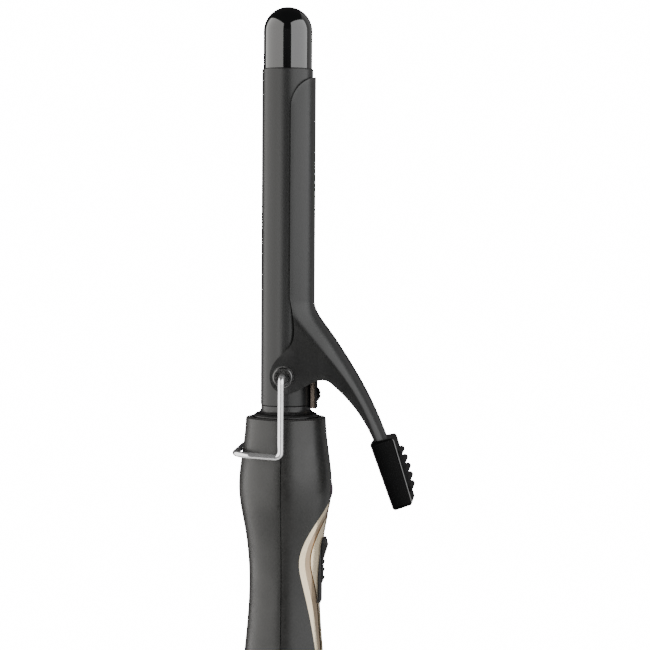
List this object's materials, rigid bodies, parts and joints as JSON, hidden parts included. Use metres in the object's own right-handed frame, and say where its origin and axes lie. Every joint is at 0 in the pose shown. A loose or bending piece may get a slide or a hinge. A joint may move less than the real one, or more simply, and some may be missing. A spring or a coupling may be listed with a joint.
{
  "type": "curling iron",
  "caption": "Hair curling iron with a heated barrel, sprung lever clamp, cool tip, folding wire stand, slide switch and swivelling cord gland.",
  "frame": {"origin": "on the barrel's axis at the bottom face of the swivelling cord gland, where the cord leaves", "axes": "+Z along the barrel to the cool tip, +X on the clamp, lever and switch side, Y along the clamp's pivot"},
  "size_m": [0.0667, 0.0376, 0.2995],
  "materials": {
    "barrel_coating": "matte ceramic coating",
    "tip_gloss": "glossy",
    "collar_black": "satin",
    "inner_plastic": "matte heat-resistant",
    "spreader_alu": "extruded",
    "heater_ceramic": "sintered ceramic",
    "film": "amber film",
    "sensor_glass": "glass bead",
    "lead_insulation": "fibre sleeve",
    "fuse_metal": "drawn can",
    "stud_metal": "turned, blackened recess",
    "washer_steel": "stamped",
    "thumb_black": "glossy",
    "spring_steel": "tempered",
    "plate_black": "black oxide",
    "screw_black": "black oxide",
    "wire_chrome": "polished",
    "handle_soft_touch": "soft touch",
    "trim_gold": "champagne lacquer",
    "trim_bronze": "deep champagne lacquer",
    "lens_tint": "tinted, glossy",
    "led_clear": "clear epoxy",
    "switch_black": "satin",
    "board_green": "solder mask",
    "component_yellow": "film capacitor case",
    "component_black": "moulded",
    "component_tan": "lacquered",
    "screw_steel": "zinc plated",
    "gland_black": "matte",
    "contact_brass": "plated"
  },
  "bodies": {
    "handle": {"barrel_tube": "barrel_coating", "cool_tip": "tip_gloss", "upper_collar": "collar_black", "shoulder_ring": "collar_black", "barrel_carrier": "inner_plastic", "heat_spreader_front": "spreader_alu", "heat_spreader_rear": "spreader_alu", "ceramic_heater": "heater_ceramic", "heater_films": "film", "temperature_sensor": "sensor_glass", "heater_leads": "lead_insulation", "sensor_leads": "lead_insulation", "thermal_fuse": "fuse_metal", "pivot_stud_left": "stud_metal", "pivot_stud_right": "stud_metal", "pivot_washers": "washer_steel", "clamp_spring": "plate_black", "spring_plate": "spring_steel", "spring_screw": "screw_black", "handle_shell_front": "handle_soft_touch", "handle_shell_rear": "handle_soft_touch", "gold_trim": "trim_gold", "trim_inlay": "trim_bronze", "pilot_lens": "lens_tint", "pilot_led": "led_clear", "switch_bezel": "switch_black", "switch_body": "inner_plastic", "control_board": "board_green", "film_capacitor": "component_yellow", "triac": "component_black", "dropper_resistor": "component_tan", "board_screws": "screw_steel", "handle_screws": "screw_steel", "tail_bush": "collar_black", "brush_contacts": "contact_brass", "contact_block": "inner_plastic", "supply_leads": "lead_insulation"},
    "clamp": {"clamp_plate": "barrel_coating", "thumb_rest": "thumb_black", "thumb_pad": "thumb_black"},
    "stand": {"wire_stand": "wire_chrome"},
    "switch": {"switch_slider": "switch_black", "switch_actuator": "inner_plastic"},
    "swivel": {"swivel_gland": "gland_black", "gland_clip": "screw_steel", "slip_rings": "contact_brass"}
  },
  "joints": [
    {"name": "clamp_hinge", "type": "hinge", "parent": "handle", "child": "clamp", "pos_m": [0, 0, 0.1628], "axis": [0, 1, 0], "range_deg": [0, 20], "stiffness_Nm_per_rad": 0.6, "springref_deg": -28.65, "deforming": ["clamp_spring"]},
    {"name": "stand_hinge", "type": "hinge", "parent": "handle", "child": "stand", "pos_m": [0, 0, 0.1628], "axis": [0, 1, 0], "range_deg": [0, 100]},
    {"name": "switch_slide", "type": "slide", "parent": "handle", "child": "switch", "axis": [0, 0, -1], "range_m": [0, 0.006]},
    {"name": "gland_swivel", "type": "hinge", "parent": "handle", "child": "swivel", "pos_m": [0, 0, 0.006], "axis": [0, 0, 1], "continuous": true}
  ]
}
